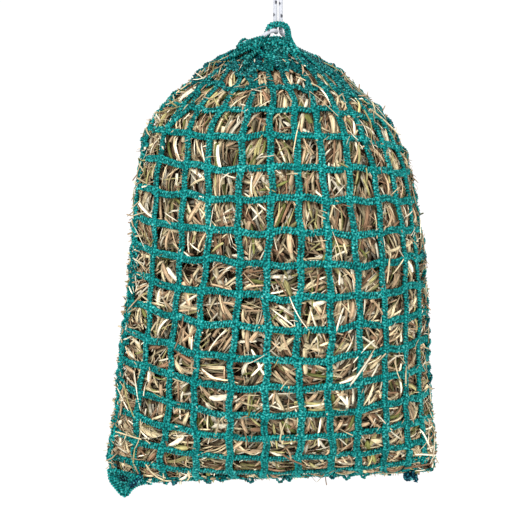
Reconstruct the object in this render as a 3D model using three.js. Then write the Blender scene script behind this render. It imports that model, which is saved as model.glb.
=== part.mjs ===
// A filled hay net that hangs from a doubled drawcord: a closed netting bag of two laced panels,
// gathered at its mouth, with a core of hay inside it. Millimetres, +Z up, the front faces -Y.
import * as THREE from "three";

// The hanging end. Z is 0 where a hook or ring bears inside the top of the hanging eye.
const CORD_RADIUS = 2.5;
const EYE_WIDTH = 19;
const EYE_BOTTOM_Z = -46;
const EYE_END_SPREAD = 3.6;
const KNOT_CENTRE_Z = -58.6;
const KNOT_RADIUS = 5.6;
const KNOT_STRAND_RADIUS = 2.3;
const KNOT_WIDTH_SCALE = 1.12;
const KNOT_STEPS = 44;
const KNOT_SIDES = 8;
const LEG_SPACING = 3.2;
const LEG_TOP_Z = -72.5;
const LEG_BOTTOM_Z = -118.6;
const CORD_SIDES = 10;
const CORD_STEP = 10;

// The mouth. Heights in this block are drops below the top of the standing mesh loop.
const BAG_TOP_Z = -115;
const LOOP_STRAND_RADIUS = 3.3;
const LOOP_HALF_WIDTH = 10.2;
const LOOP_PLANE_Y = -7.6;
const LOOP_FOOT_DROP = 15.3;
const LOOP_FOOT_Y = -13.4;
const MOUTH_CENTRE_X = -6;
const MOUTH_RADIUS = 20;
const BORDER_DROP = 22.6;
const BORDER_RADIUS = 3.3;
const BORDER_PLEATS = 14;
const BORDER_PLEAT_HEIGHT = 0.5;

// The netting: cells across one panel, cells from mouth to bottom, and the knitted strands.
const COLUMNS = 12;
const ROWS = 17;
const CLOSED_ROWS = 1;
const STRAND_HALF_WIDTH = 4.2;
const STRAND_HALF_THICKNESS = 2.4;
const LARGEST_STRAND_SHARE = 0.34;
const SEAM_HALF_GAP = 3.3;
const LACING_RADIUS = 2.4;
const LACING_STEP = 21;
const LACING_SIDES = 8;

// Half widths and drops down the two side edges, one pair per row of meshes.
const LEFT_EDGE = [
  [26, 29], [68, 44], [97, 68], [127, 94], [146, 121], [153, 151], [158, 184], [161, 217], [163, 250],
  [167, 283], [170, 315], [174, 348], [177, 379], [180, 408], [182, 435], [186, 461], [190, 486], [183, 510],
];
const RIGHT_EDGE = [
  [14, 29], [59, 52], [95, 83], [122, 113], [139, 143], [149, 170], [155, 201], [160, 234], [163, 266],
  [165, 298], [167, 329], [167, 359], [168, 388], [170, 417], [172, 445], [175, 469], [176, 490], [174, 504],
];

// Depths and drops down the middle of a panel, one pair per row of meshes.
const MIDDLE_LINE = [
  [20, 31], [42, 54], [63, 79], [82, 105], [99, 135], [113, 171],
  [120, 205], [124, 241], [126, 275], [127, 309], [126, 343], [123, 376],
  [116, 407], [103, 437], [84, 463], [60, 487], [31, 505], [SEAM_HALF_GAP, 511],
];
// Each panel is bowed like an arc of this half angle. The filled bag hangs turned a little about
// its height, so that the front's middle lies to the right and the back's to the left.
const PANEL_BOW = 1.1;
const MIDDLE_SHIFT = 0.15;
const SMILE_POWER = 2.4;
const LEFT_CORNER_SAG = 9;
const CORNER_SAG_POWER = 8;
const PARAMETER_STEP = 0.2;

// The hay and the corner knots.
const HAY_INSET = 5.2;
const HAY_LEFT_INSET = 7.5;
const HAY_RINGS = [0.55, 1.5, 3, 4.5, 6, 8, 10, 12, 13.5, 14.8, 15.8, 16.4];
const CORNER_KNOT_RADIUS = 9;
const CORNER_KNOT_GAP = 3;

// Colours of the real materials.
const TEAL = 0x21867f;
const DARK_TEAL = 0x14595e;
const CORD_WHITE = 0xdcdde0;
const HAY_STRAW = 0x8b8060;

function material(colour, roughness) {
  return new THREE.MeshStandardMaterial({ color: colour, roughness, metalness: 0 });
}

function named(name, geometry, surface) {
  const mesh = new THREE.Mesh(geometry, surface);
  mesh.name = name;
  return mesh;
}

// A round solid strand with closed ends along a list of points.
function strand(points, radius, sides, step) {
  const path = new THREE.CatmullRomCurve3(points, false, "centripetal");
  const section = new THREE.Shape();
  for (let i = 0; i < sides; i++) {
    const turn = (i * 2 * Math.PI) / sides;
    const x = radius * Math.cos(turn);
    const y = radius * Math.sin(turn);
    if (i === 0) {
      section.moveTo(x, y);
    } else {
      section.lineTo(x, y);
    }
  }
  section.closePath();
  const steps = Math.max(2, Math.round(path.getLength() / step));
  return new THREE.ExtrudeGeometry(section, {
    steps,
    extrudePath: path,
    bevelEnabled: false,
  });
}

function at(x, y, z) {
  return new THREE.Vector3(x, y, z);
}

// A point given by its drop below the top of the standing mesh loop.
function below(x, y, drop) {
  return new THREE.Vector3(x, y, BAG_TOP_Z - drop);
}

function edgeCurve(edge) {
  return new THREE.SplineCurve(edge.map(([width, drop]) => new THREE.Vector2(width, drop)));
}

const leftEdge = edgeCurve(LEFT_EDGE);
const rightEdge = edgeCurve(RIGHT_EDGE);
const middleLine = edgeCurve(MIDDLE_LINE);

// The middle surface of a panel. side is -1 for the front and 1 for the back, column runs from
// 0 at the left seam to COLUMNS at the right seam, and row from 0 at the mouth to ROWS.
function bagPoint(side, column, row) {
  const across = (2 * column) / COLUMNS - 1;
  const bow = PANEL_BOW * across;
  const offset = Math.sin(bow) / Math.sin(PANEL_BOW) + side * MIDDLE_SHIFT * (across * across - 1);
  const bulge = (Math.cos(bow) - Math.cos(PANEL_BOW)) / (1 - Math.cos(PANEL_BOW));
  const down = row / ROWS;
  const left = leftEdge.getPoint(down);
  const right = rightEdge.getPoint(down);
  const middle = middleLine.getPoint(down);
  const x = (right.x - left.x) / 2 + (offset * (right.x + left.x)) / 2;
  const depth = SEAM_HALF_GAP + (middle.x - SEAM_HALF_GAP) * bulge;
  const edgeDrop = offset < 0 ? left.y : right.y;
  const sag = LEFT_CORNER_SAG * down ** CORNER_SAG_POWER * ((1 - offset) / 2) ** 2;
  const drop = middle.y + (edgeDrop - middle.y) * Math.abs(offset) ** SMILE_POWER + sag;
  return below(x, side * depth, drop);
}

// The outward direction of a panel. On its seam edges the direction stays in the seam plane.
function bagNormal(side, column, row) {
  const columnLow = Math.max(0, column - PARAMETER_STEP);
  const columnHigh = Math.min(COLUMNS, column + PARAMETER_STEP);
  const rowLow = Math.max(0, row - PARAMETER_STEP);
  const rowHigh = Math.min(ROWS, row + PARAMETER_STEP);
  const across = bagPoint(side, columnHigh, row).sub(bagPoint(side, columnLow, row));
  const down = bagPoint(side, column, rowHigh).sub(bagPoint(side, column, rowLow));
  const onSide = column < 1e-6 || column > COLUMNS - 1e-6;
  const onBottom = row > ROWS - 1e-6;
  if (onSide || onBottom) {
    const outX = column < COLUMNS / 2 ? -1 : 1;
    const fromSide = new THREE.Vector3(-down.z, 0, down.x).normalize();
    fromSide.multiplyScalar(Math.sign(fromSide.x) * outX);
    const fromBottom = new THREE.Vector3(across.z, 0, -across.x).normalize();
    if (onSide && onBottom) {
      return fromSide.add(fromBottom).normalize();
    }
    return onSide ? fromSide : fromBottom;
  }
  return across.cross(down).multiplyScalar(side).normalize();
}

function offsetPoint(side, column, row, distance) {
  return bagPoint(side, column, row).addScaledVector(bagNormal(side, column, row), distance);
}

// How much of a cell a strand covers on each side of its middle line, as a share of the cell.
function strandShare(cellSize) {
  return Math.min(STRAND_HALF_WIDTH / cellSize, LARGEST_STRAND_SHARE);
}

// The column and row of one corner of the lattice's grid: lines run along both edges of a strand.
function latticePlace(columnLine, rowLine, side) {
  const cellColumn = Math.min(COLUMNS - 1, Math.max(0, Math.floor((columnLine - 1) / 2)));
  const cellRow = Math.min(ROWS - 1, Math.max(0, Math.floor((rowLine - 1) / 2)));
  const cellLeft = bagPoint(side, cellColumn, cellRow + 0.5);
  const cellRight = bagPoint(side, cellColumn + 1, cellRow + 0.5);
  const cellTop = bagPoint(side, cellColumn + 0.5, cellRow);
  const cellBottom = bagPoint(side, cellColumn + 0.5, cellRow + 1);
  const acrossShare = strandShare(cellLeft.distanceTo(cellRight));
  const downShare = strandShare(cellTop.distanceTo(cellBottom));
  let column = cellColumn + ((columnLine - 1) % 2 === 0 ? acrossShare : 1 - acrossShare);
  let row = cellRow + ((rowLine - 1) % 2 === 0 ? downShare : 1 - downShare);
  if (columnLine === 0) {
    column = 0;
  }
  if (columnLine === 2 * COLUMNS + 1) {
    column = COLUMNS;
  }
  if (rowLine === 0) {
    row = 0;
  }
  if (rowLine === 2 * ROWS + 1) {
    row = ROWS;
  }
  return [column, row];
}

// One panel of netting as a closed solid with its mesh openings.
function netPanel(side) {
  const columnLines = 2 * COLUMNS + 2;
  const rowLines = 2 * ROWS + 2;
  const positions = [];
  for (const distance of [STRAND_HALF_THICKNESS, -STRAND_HALF_THICKNESS]) {
    for (let r = 0; r < rowLines; r++) {
      for (let c = 0; c < columnLines; c++) {
        const [column, row] = latticePlace(c, r, side);
        positions.push(...offsetPoint(side, column, row, distance).toArray());
      }
    }
  }
  const layer = columnLines * rowLines;
  const solid = (c, r) => {
    if (c < 0 || r < 0 || c >= columnLines - 1 || r >= rowLines - 1) {
      return false;
    }
    const opening = c % 2 === 1 && r % 2 === 1 && (r - 1) / 2 >= CLOSED_ROWS;
    return !opening;
  };
  const triangles = [];
  const quad = (a, b, c, d) => {
    if (side < 0) {
      triangles.push(a, b, c, a, c, d);
    } else {
      triangles.push(a, c, b, a, d, c);
    }
  };
  for (let r = 0; r < rowLines - 1; r++) {
    for (let c = 0; c < columnLines - 1; c++) {
      if (!solid(c, r)) {
        continue;
      }
      const topLeft = r * columnLines + c;
      const topRight = topLeft + 1;
      const lowLeft = topLeft + columnLines;
      const lowRight = lowLeft + 1;
      quad(topLeft, lowLeft, lowRight, topRight);
      quad(topLeft + layer, topRight + layer, lowRight + layer, lowLeft + layer);
      if (!solid(c - 1, r)) {
        quad(topLeft, topLeft + layer, lowLeft + layer, lowLeft);
      }
      if (!solid(c + 1, r)) {
        quad(lowRight, lowRight + layer, topRight + layer, topRight);
      }
      if (!solid(c, r - 1)) {
        quad(topRight, topRight + layer, topLeft + layer, topLeft);
      }
      if (!solid(c, r + 1)) {
        quad(lowLeft, lowLeft + layer, lowRight + layer, lowRight);
      }
    }
  }
  const geometry = new THREE.BufferGeometry();
  geometry.setAttribute("position", new THREE.Float32BufferAttribute(positions, 3));
  geometry.setIndex(triangles);
  geometry.computeVertexNormals();
  return geometry;
}

// The hay that fills the bag, a closed body a little inside both panels.
function hayCore() {
  const positions = [];
  const ringSize = 2 * COLUMNS;
  for (const row of HAY_RINGS) {
    for (let i = 0; i < ringSize; i++) {
      const side = i <= COLUMNS ? -1 : 1;
      const column = i <= COLUMNS ? i : ringSize - i;
      const leftShare = Math.max(0, 1 - (2 * column) / COLUMNS);
      const inset = HAY_INSET + HAY_LEFT_INSET * leftShare;
      const point = offsetPoint(side, column, row, -inset);
      if (column === 0 || column === COLUMNS) {
        point.y = 0;
      }
      positions.push(...point.toArray());
    }
  }
  const triangles = [];
  for (let k = 0; k < HAY_RINGS.length - 1; k++) {
    for (let i = 0; i < ringSize; i++) {
      const next = (i + 1) % ringSize;
      const a = k * ringSize + i;
      const b = k * ringSize + next;
      triangles.push(a, a + ringSize, b + ringSize, a, b + ringSize, b);
    }
  }
  const lastRing = (HAY_RINGS.length - 1) * ringSize;
  for (let i = 0; i < COLUMNS; i++) {
    const frontNow = i;
    const frontNext = i + 1;
    const backNow = (ringSize - i) % ringSize;
    const backNext = ringSize - i - 1;
    if (backNow !== frontNow) {
      triangles.push(frontNow, frontNext, backNow);
      triangles.push(lastRing + frontNow, lastRing + backNow, lastRing + frontNext);
    }
    if (backNext !== frontNext) {
      triangles.push(frontNext, backNext, backNow);
      triangles.push(lastRing + frontNext, lastRing + backNow, lastRing + backNext);
    }
  }
  const geometry = new THREE.BufferGeometry();
  geometry.setAttribute("position", new THREE.Float32BufferAttribute(positions, 3));
  geometry.setIndex(triangles);
  geometry.computeVertexNormals();
  return geometry;
}

// The strand that laces the two panels together along a side edge.
function sideLacing(column) {
  const points = [];
  const lastRow = ROWS - 0.7;
  const count = 2 * ROWS;
  for (let i = 0; i <= count; i++) {
    const point = bagPoint(-1, column, (i * lastRow) / count);
    points.push(at(point.x, 0, point.z));
  }
  return strand(points, LACING_RADIUS, LACING_SIDES, LACING_STEP);
}

// The strand that laces the two panels together along the bottom.
function bottomLacing() {
  const points = [];
  for (let i = 1; i < 2 * COLUMNS; i++) {
    const point = bagPoint(-1, i / 2, ROWS);
    points.push(at(point.x, 0, point.z));
  }
  return strand(points, LACING_RADIUS, LACING_SIDES, LACING_STEP);
}

// A tied-off end below a bottom corner: a lumpy knot a little clear of both panels.
function cornerKnot(column, width, height, shiftX) {
  const corner = bagPoint(-1, column, ROWS);
  const geometry = new THREE.SphereGeometry(CORNER_KNOT_RADIUS, 14, 10);
  const reach = CORNER_KNOT_RADIUS * height;
  const drop = reach + STRAND_HALF_THICKNESS + CORNER_KNOT_GAP;
  geometry.scale(width, 0.8, height);
  geometry.translate(corner.x + shiftX, 0, corner.z - drop);
  return geometry;
}

// The border strand of the netting round the gathered mouth, with its pleats.
function mouthBorder() {
  const geometry = new THREE.TorusGeometry(MOUTH_RADIUS, BORDER_RADIUS, 8, 2 * BORDER_PLEATS);
  const position = geometry.getAttribute("position");
  const point = new THREE.Vector3();
  for (let i = 0; i < position.count; i++) {
    point.fromBufferAttribute(position, i);
    const turn = Math.atan2(point.y, point.x);
    point.z += BORDER_PLEAT_HEIGHT * Math.cos(BORDER_PLEATS * turn);
    position.setXYZ(i, point.x, point.y, point.z);
  }
  geometry.translate(MOUTH_CENTRE_X, 0, BAG_TOP_Z - BORDER_DROP);
  return geometry;
}

// The mesh of the border that the drawcord pulls up into a standing loop.
function mouthLoop() {
  const top = LOOP_STRAND_RADIUS;
  const side = LOOP_HALF_WIDTH;
  const points = [
    below(-side - 1, LOOP_FOOT_Y, LOOP_FOOT_DROP),
    below(-side, LOOP_PLANE_Y - 1.5, 11),
    below(-side + 1.5, LOOP_PLANE_Y, 6.5),
    below(0, LOOP_PLANE_Y, top),
    below(side - 1.5, LOOP_PLANE_Y, 6.5),
    below(side, LOOP_PLANE_Y - 1.5, 11),
    below(side + 0.5, LOOP_FOOT_Y, LOOP_FOOT_DROP),
  ];
  return strand(points, LOOP_STRAND_RADIUS, CORD_SIDES, CORD_STEP / 2);
}

// The drawcord where it is threaded round the gathered mouth.
function mouthCord() {
  const points = [
    below(-LEG_SPACING, 0, 8.6),
    below(-3, -0.8, 11.2),
    below(-2, -6, 12.6),
    below(-2.2, -12, 12.2),
    below(-5, -18, 12.2),
    below(-10, -21.5, 14),
    below(-15, -24.2, 17.5),
    below(-21, -24.8, 21.5),
    below(-29, -20.5, 24),
    below(-37, -10, 24.5),
    below(-38.5, 4, 24.5),
    below(-31, 18, 24.5),
    below(-14, 27.5, 24.5),
    below(0, 28, 23.8),
    below(8, 25, 21.5),
    below(12, 19.5, 18),
    below(11, 13.5, 16),
    below(7.5, 8, 14.6),
    below(4.6, 3, 13),
    below(3.4, 0.3, 11),
    below(LEG_SPACING, 0, 8.6),
  ];
  return strand(points, CORD_RADIUS, CORD_SIDES, CORD_STEP);
}

// The eye that goes over a hook or ring.
function hangingEye() {
  const half = EYE_WIDTH / 2;
  const points = [
    at(-EYE_END_SPREAD, 0, EYE_BOTTOM_Z),
    at(-half * 0.55, 0, EYE_BOTTOM_Z + 9),
    at(-half, 0, EYE_BOTTOM_Z + 26),
    at(-half * 0.9, 0, -7),
    at(-half * 0.5, 0, 0),
    at(0, 0, CORD_RADIUS),
    at(half * 0.5, 0, 0),
    at(half * 0.9, 0, -7),
    at(half, 0, EYE_BOTTOM_Z + 26),
    at(half * 0.55, 0, EYE_BOTTOM_Z + 9),
    at(EYE_END_SPREAD, 0, EYE_BOTTOM_Z),
  ];
  return strand(points, CORD_RADIUS, CORD_SIDES, CORD_STEP / 2);
}

// The overhand knot that closes the eye in the doubled cord.
function hangingKnot() {
  const geometry = new THREE.TorusKnotGeometry(
    KNOT_RADIUS, KNOT_STRAND_RADIUS, KNOT_STEPS, KNOT_SIDES, 2, 3,
  );
  geometry.rotateX(Math.PI / 2);
  geometry.rotateY(Math.PI / 2);
  geometry.scale(KNOT_WIDTH_SCALE, 1, 1);
  geometry.translate(0, 0, KNOT_CENTRE_Z);
  return geometry;
}

function cordLeg(x) {
  return strand([at(x, 0, LEG_TOP_Z), at(x, 0, LEG_BOTTOM_Z)], CORD_RADIUS, CORD_SIDES, CORD_STEP);
}

const hayNet = new THREE.Group();
hayNet.name = "hay_net";
hayNet.add(
  named("hanging_eye", hangingEye(), material(CORD_WHITE, 0.7)),
  named("hanging_knot", hangingKnot(), material(CORD_WHITE, 0.7)),
  named("drawcord_leg_left", cordLeg(-LEG_SPACING), material(CORD_WHITE, 0.7)),
  named("drawcord_leg_right", cordLeg(LEG_SPACING), material(CORD_WHITE, 0.7)),
  named("drawcord_mouth", mouthCord(), material(CORD_WHITE, 0.7)),
  named("mouth_loop", mouthLoop(), material(TEAL, 0.8)),
  named("mouth_border", mouthBorder(), material(TEAL, 0.8)),
  named("net_front", netPanel(-1), material(TEAL, 0.8)),
  named("net_back", netPanel(1), material(TEAL, 0.8)),
  named("lacing_left", sideLacing(0), material(TEAL, 0.8)),
  named("lacing_right", sideLacing(COLUMNS), material(TEAL, 0.8)),
  named("lacing_bottom", bottomLacing(), material(TEAL, 0.8)),
  named("corner_knot_left", cornerKnot(0, 1.25, 0.85, 12), material(TEAL, 0.8)),
  named("corner_knot_right", cornerKnot(COLUMNS, 0.85, 0.8, -25), material(DARK_TEAL, 0.85)),
  named("hay_core", hayCore(), material(HAY_STRAW, 0.95)),
);

export default hayNet;
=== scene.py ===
"""The hay net's looks: knitted netting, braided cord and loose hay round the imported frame."""

import math

import bpy
import numpy as np
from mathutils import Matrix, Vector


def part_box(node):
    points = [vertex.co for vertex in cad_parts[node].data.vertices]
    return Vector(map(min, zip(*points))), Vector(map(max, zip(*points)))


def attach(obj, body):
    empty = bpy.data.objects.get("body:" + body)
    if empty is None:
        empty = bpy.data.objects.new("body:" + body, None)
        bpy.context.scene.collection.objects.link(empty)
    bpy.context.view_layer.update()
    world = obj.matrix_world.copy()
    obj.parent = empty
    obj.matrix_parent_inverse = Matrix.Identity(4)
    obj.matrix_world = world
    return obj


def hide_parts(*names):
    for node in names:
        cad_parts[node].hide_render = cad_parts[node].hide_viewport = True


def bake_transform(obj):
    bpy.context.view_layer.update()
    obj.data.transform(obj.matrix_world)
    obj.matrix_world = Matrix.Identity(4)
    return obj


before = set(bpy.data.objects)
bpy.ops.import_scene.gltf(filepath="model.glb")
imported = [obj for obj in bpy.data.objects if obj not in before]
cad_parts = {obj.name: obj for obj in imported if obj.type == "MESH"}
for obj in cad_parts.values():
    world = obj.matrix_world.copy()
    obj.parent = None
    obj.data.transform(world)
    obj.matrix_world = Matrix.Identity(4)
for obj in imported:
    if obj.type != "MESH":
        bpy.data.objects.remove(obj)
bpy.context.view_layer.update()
MM = 0.001


def node_middle(node):
    """The middle of a node's box, in mm."""
    low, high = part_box(node)
    return (np.array(low) + np.array(high)) / 2 / MM


# ---- camera
CAMERA_DISTANCE = 2.3
VIEW_WIDTH = 0.599
VIEW_CENTRE_X = -0.0147
VIEW_CENTRE_Z = -0.390
SENSOR_MM = 36.0


def add_camera():
    """A level camera in front of the bag."""
    data = bpy.data.cameras.new("camera")
    data.sensor_width = SENSOR_MM
    data.lens = SENSOR_MM * CAMERA_DISTANCE / VIEW_WIDTH
    camera = bpy.data.objects.new("camera", data)
    camera.location = (VIEW_CENTRE_X, -CAMERA_DISTANCE, VIEW_CENTRE_Z)
    camera.rotation_euler = (math.pi / 2, 0, 0)
    bpy.context.scene.collection.objects.link(camera)
    bpy.context.scene.camera = camera


# ---- mesh helpers, all in mm
def make_object(name, points, face_sets, colours, lay=None):
    """A smooth mesh object. face_sets is a list of index arrays, one per face size, colours is
    one colour per point, and lay is an optional (along, across, chance) vector per point."""
    mesh = bpy.data.meshes.new(name)
    mesh.vertices.add(len(points))
    mesh.vertices.foreach_set("co", (np.asarray(points) * MM).astype(np.float32).ravel())
    loops = np.concatenate([np.asarray(f).ravel() for f in face_sets])
    sizes = np.concatenate([np.full(len(f), np.shape(f)[1]) for f in face_sets])
    starts = np.concatenate([[0], np.cumsum(sizes)[:-1]])
    mesh.loops.add(len(loops))
    mesh.loops.foreach_set("vertex_index", loops.astype(np.int32))
    mesh.polygons.add(len(sizes))
    mesh.polygons.foreach_set("loop_start", starts.astype(np.int32))
    mesh.polygons.foreach_set("use_smooth", np.ones(len(sizes), bool))
    mesh.update(calc_edges=True)
    rgba = np.ones((len(points), 4), np.float32)
    rgba[:, :3] = colours
    mesh.color_attributes.new("tint", "FLOAT_COLOR", "POINT").data.foreach_set("color", rgba.ravel())
    if lay is not None:
        layer = mesh.attributes.new("lay", "FLOAT_VECTOR", "POINT")
        layer.data.foreach_set("vector", lay.astype(np.float32).ravel())
    piece = bpy.data.objects.new(name, mesh)
    bpy.context.scene.collection.objects.link(piece)
    return piece


def unit(vectors):
    """The vectors of an array, scaled to length one."""
    return vectors / np.maximum(np.linalg.norm(vectors, axis=-1, keepdims=True), 1e-9)


def catmull(points, t):
    """A smooth curve through points, for t from 0 to 1."""
    last = len(points) - 1
    place = np.clip(t, 0, 1) * last
    i = np.minimum(place.astype(int), last - 1)
    w = (place - i)[..., None]
    p0, p1 = points[np.maximum(i - 1, 0)], points[i]
    p2, p3 = points[i + 1], points[np.minimum(i + 2, last)]
    v0, v1 = (p2 - p0) / 2, (p3 - p1) / 2
    return (2 * p1 - 2 * p2 + v0 + v1) * w**3 + (-3 * p1 + 3 * p2 - 2 * v0 - v1) * w**2 + v0 * w + p1


def run_length(points):
    """The distance along a line of points, at each point."""
    steps = np.linalg.norm(np.diff(points, axis=0), axis=1)
    return np.concatenate([[0], np.cumsum(steps)])


def smooth_path(points, step):
    """Evenly spaced points along a smooth curve through a few chosen ones."""
    points = np.array(points, float)
    dense = catmull(points, np.linspace(0, 1, 40 * (len(points) - 1) + 1))
    run = run_length(dense)
    at = np.linspace(0, run[-1], max(3, int(round(run[-1] / step)) + 1))
    return np.stack([np.interp(at, run, dense[:, k]) for k in range(3)], axis=1)


def tube_faces(steps, sides):
    """The side faces of a closed tube of rings, and its two end faces."""
    i, k = np.arange(steps - 1)[:, None] * sides, np.arange(sides)[None, :]
    a, b = i + k, i + (k + 1) % sides
    quads = np.stack([a, b, b + sides, a + sides], axis=-1).reshape(-1, 4)
    ends = np.stack([np.arange(sides)[::-1], (steps - 1) * sides + np.arange(sides)])
    return quads, ends


class Tubes:
    """Collects closed tubes, and makes one object of them."""

    def __init__(self):
        self.points, self.colours, self.lay, self.quads, self.caps = [], [], [], [], []
        self.count = 0

    def add(self, rings, colours, lay):
        """rings is an array of (ring, side, xyz), and colours and lay have the same shape."""
        steps, sides = rings.shape[:2]
        quads, ends = tube_faces(steps, sides)
        self.quads.append(quads + self.count)
        self.caps.append(ends + self.count)
        for store, values in ((self.points, rings), (self.colours, colours), (self.lay, lay)):
            store.append(values.reshape(-1, 3))
        self.count += steps * sides

    def make(self, name):
        """The object made of every tube added."""
        points, quads, caps, colours, lay = map(
            np.concatenate, (self.points, self.quads, self.caps, self.colours, self.lay))
        return make_object(name, points, [quads, caps], colours, lay)


def frames_along(path, outward):
    """The outward and sideways directions at each point of a path."""
    tangent = unit(np.gradient(path, axis=0))
    outward = unit(outward - (outward * tangent).sum(-1, keepdims=True) * tangent)
    return outward, np.cross(tangent, outward)


def carried_outward(path, first):
    """An outward direction carried along a free path without twisting."""
    tangent = unit(np.gradient(path, axis=0))
    outward = np.zeros_like(path)
    now = np.array(first, float)
    for i, t in enumerate(tangent):
        now = now - now.dot(t) * t
        now /= max(np.linalg.norm(now), 1e-9)
        outward[i] = now
    return outward


# ---- the bag's surface, in mm
COLUMNS = 12
AROUND = 2 * COLUMNS
ROWS = 17
BAG_TOP_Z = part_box("mouth_loop")[1][2] / MM

# Half widths and drops at points down the two side edges, and the drop of each row on them.
LEFT_SHAPE = [
    (26, 29), (62, 40), (106, 76), (143, 115), (157, 179), (163, 246), (170, 314), (177, 382),
    (184, 450), (190, 486), (183, 510),
]
LEFT_DROPS = [29, 44, 68, 94, 121, 151, 184, 217, 250, 283, 315, 348, 379, 408, 435, 461, 486, 510]
RIGHT_SHAPE = [
    (14, 29), (46, 43), (89, 77), (121, 112), (140, 145), (151, 179), (160, 235), (166, 314),
    (168, 382), (172, 450), (177, 480), (174, 504),
]
RIGHT_DROPS = [29, 52, 83, 113, 143, 170, 201, 234, 266, 298, 329, 359, 388, 417, 445, 469, 490, 504]


def edge_rows(shape, drops):
    """The half width, to the nearest mm, and the drop of each row on a side edge."""
    width, drop = catmull(np.array(shape, float), np.linspace(0, 1, 2000)).T
    return np.column_stack([np.round(np.interp(drops, drop, width)), drops])


LEFT_EDGE, RIGHT_EDGE = edge_rows(LEFT_SHAPE, LEFT_DROPS), edge_rows(RIGHT_SHAPE, RIGHT_DROPS)
# Depths and drops down a panel's middle, one pair per row of meshes.
MIDDLE_LINE = np.array([
    (20, 31), (42, 54), (63, 79), (82, 105), (99, 135), (113, 171),
    (120, 205), (124, 241), (126, 275), (127, 309), (126, 343), (123, 376),
    (116, 407), (103, 437), (84, 463), (60, 487), (31, 505), (2.2, 511),
], float)
PANEL_BOW = 1.1
MIDDLE_SHIFT = 0.15
SMILE_POWER = 2.4
LEFT_CORNER_SAG = 9.0
CORNER_SAG_POWER = 8
SEAM_HALF_GAP = 2.2
SEAM_GAP_POWER = 6
SLOPE_STEP = 0.12
COLUMN_WOBBLE = 0.13
ROW_WOBBLE = 0.12


def wobble(q, row, seed):
    """A smooth, repeatable unevenness from -1 to 1 that closes round the bag."""
    turn = 2 * np.pi * q / AROUND
    slow = np.sin(3 * turn + 0.55 * row + 1.7 * seed)
    middle = np.sin(7 * turn - 0.9 * row + 2.9 * seed)
    quick = np.sin(13 * turn + 1.45 * row + 0.6 * seed)
    return 0.4 * slow + 0.35 * middle + 0.25 * quick


def bag_point(q, row):
    """The middle of the netting. q runs from 0 to 12 across the front from the left, then on to
    24 across the back. row runs from 0 at the mouth to 17 at the bottom seam."""
    q = np.asarray(q, float)
    row = np.clip(np.asarray(row, float), 0, ROWS)
    uneven = np.sin(np.pi * row / ROWS)
    shifted = q + COLUMN_WOBBLE * wobble(q, row, 1)
    row = np.clip(row + ROW_WOBBLE * uneven * wobble(q, row, 2), 0, ROWS)
    q = np.mod(shifted, AROUND)
    front = q <= COLUMNS
    column = np.where(front, q, AROUND - q)
    across = 2 * column / COLUMNS - 1
    bow = PANEL_BOW * across
    turned = np.where(front, MIDDLE_SHIFT, -MIDDLE_SHIFT) * (1 - across**2)
    offset = np.sin(bow) / math.sin(PANEL_BOW) + turned
    bulge = (np.cos(bow) - math.cos(PANEL_BOW)) / (1 - math.cos(PANEL_BOW))
    down = row / ROWS
    left, right, middle = (catmull(line, down) for line in (LEFT_EDGE, RIGHT_EDGE, MIDDLE_LINE))
    x = (right[..., 0] - left[..., 0]) / 2 + offset * (right[..., 0] + left[..., 0]) / 2
    gap = SEAM_HALF_GAP * down**SEAM_GAP_POWER
    depth = gap + (middle[..., 0] - gap) * bulge
    edge_drop = np.where(offset < 0, left[..., 1], right[..., 1])
    sag = LEFT_CORNER_SAG * down**CORNER_SAG_POWER * ((1 - offset) / 2) ** 2
    drop = middle[..., 1] + (edge_drop - middle[..., 1]) * np.abs(offset) ** SMILE_POWER + sag
    return np.stack([x, np.where(front, -depth, depth), BAG_TOP_Z - drop], axis=-1)


def bag_frame(q, row):
    """Point, outward normal, and the steps for one column and one row, on the bag."""
    low = np.clip(row - SLOPE_STEP, 0, ROWS)
    high = np.clip(row + SLOPE_STEP, 0, ROWS)
    across = (bag_point(q + SLOPE_STEP, row) - bag_point(q - SLOPE_STEP, row)) / (2 * SLOPE_STEP)
    down = (bag_point(q, high) - bag_point(q, low)) / (high - low)[..., None]
    return bag_point(q, row), unit(np.cross(down, across)), across, down


# ---- materials
def srgb(red, green, blue):
    """A colour given in 0 to 255 as linear values."""
    value = np.array([red, green, blue], float) / 255
    return np.where(value <= 0.04045, value / 12.92, ((value + 0.055) / 1.055) ** 2.4)


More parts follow.
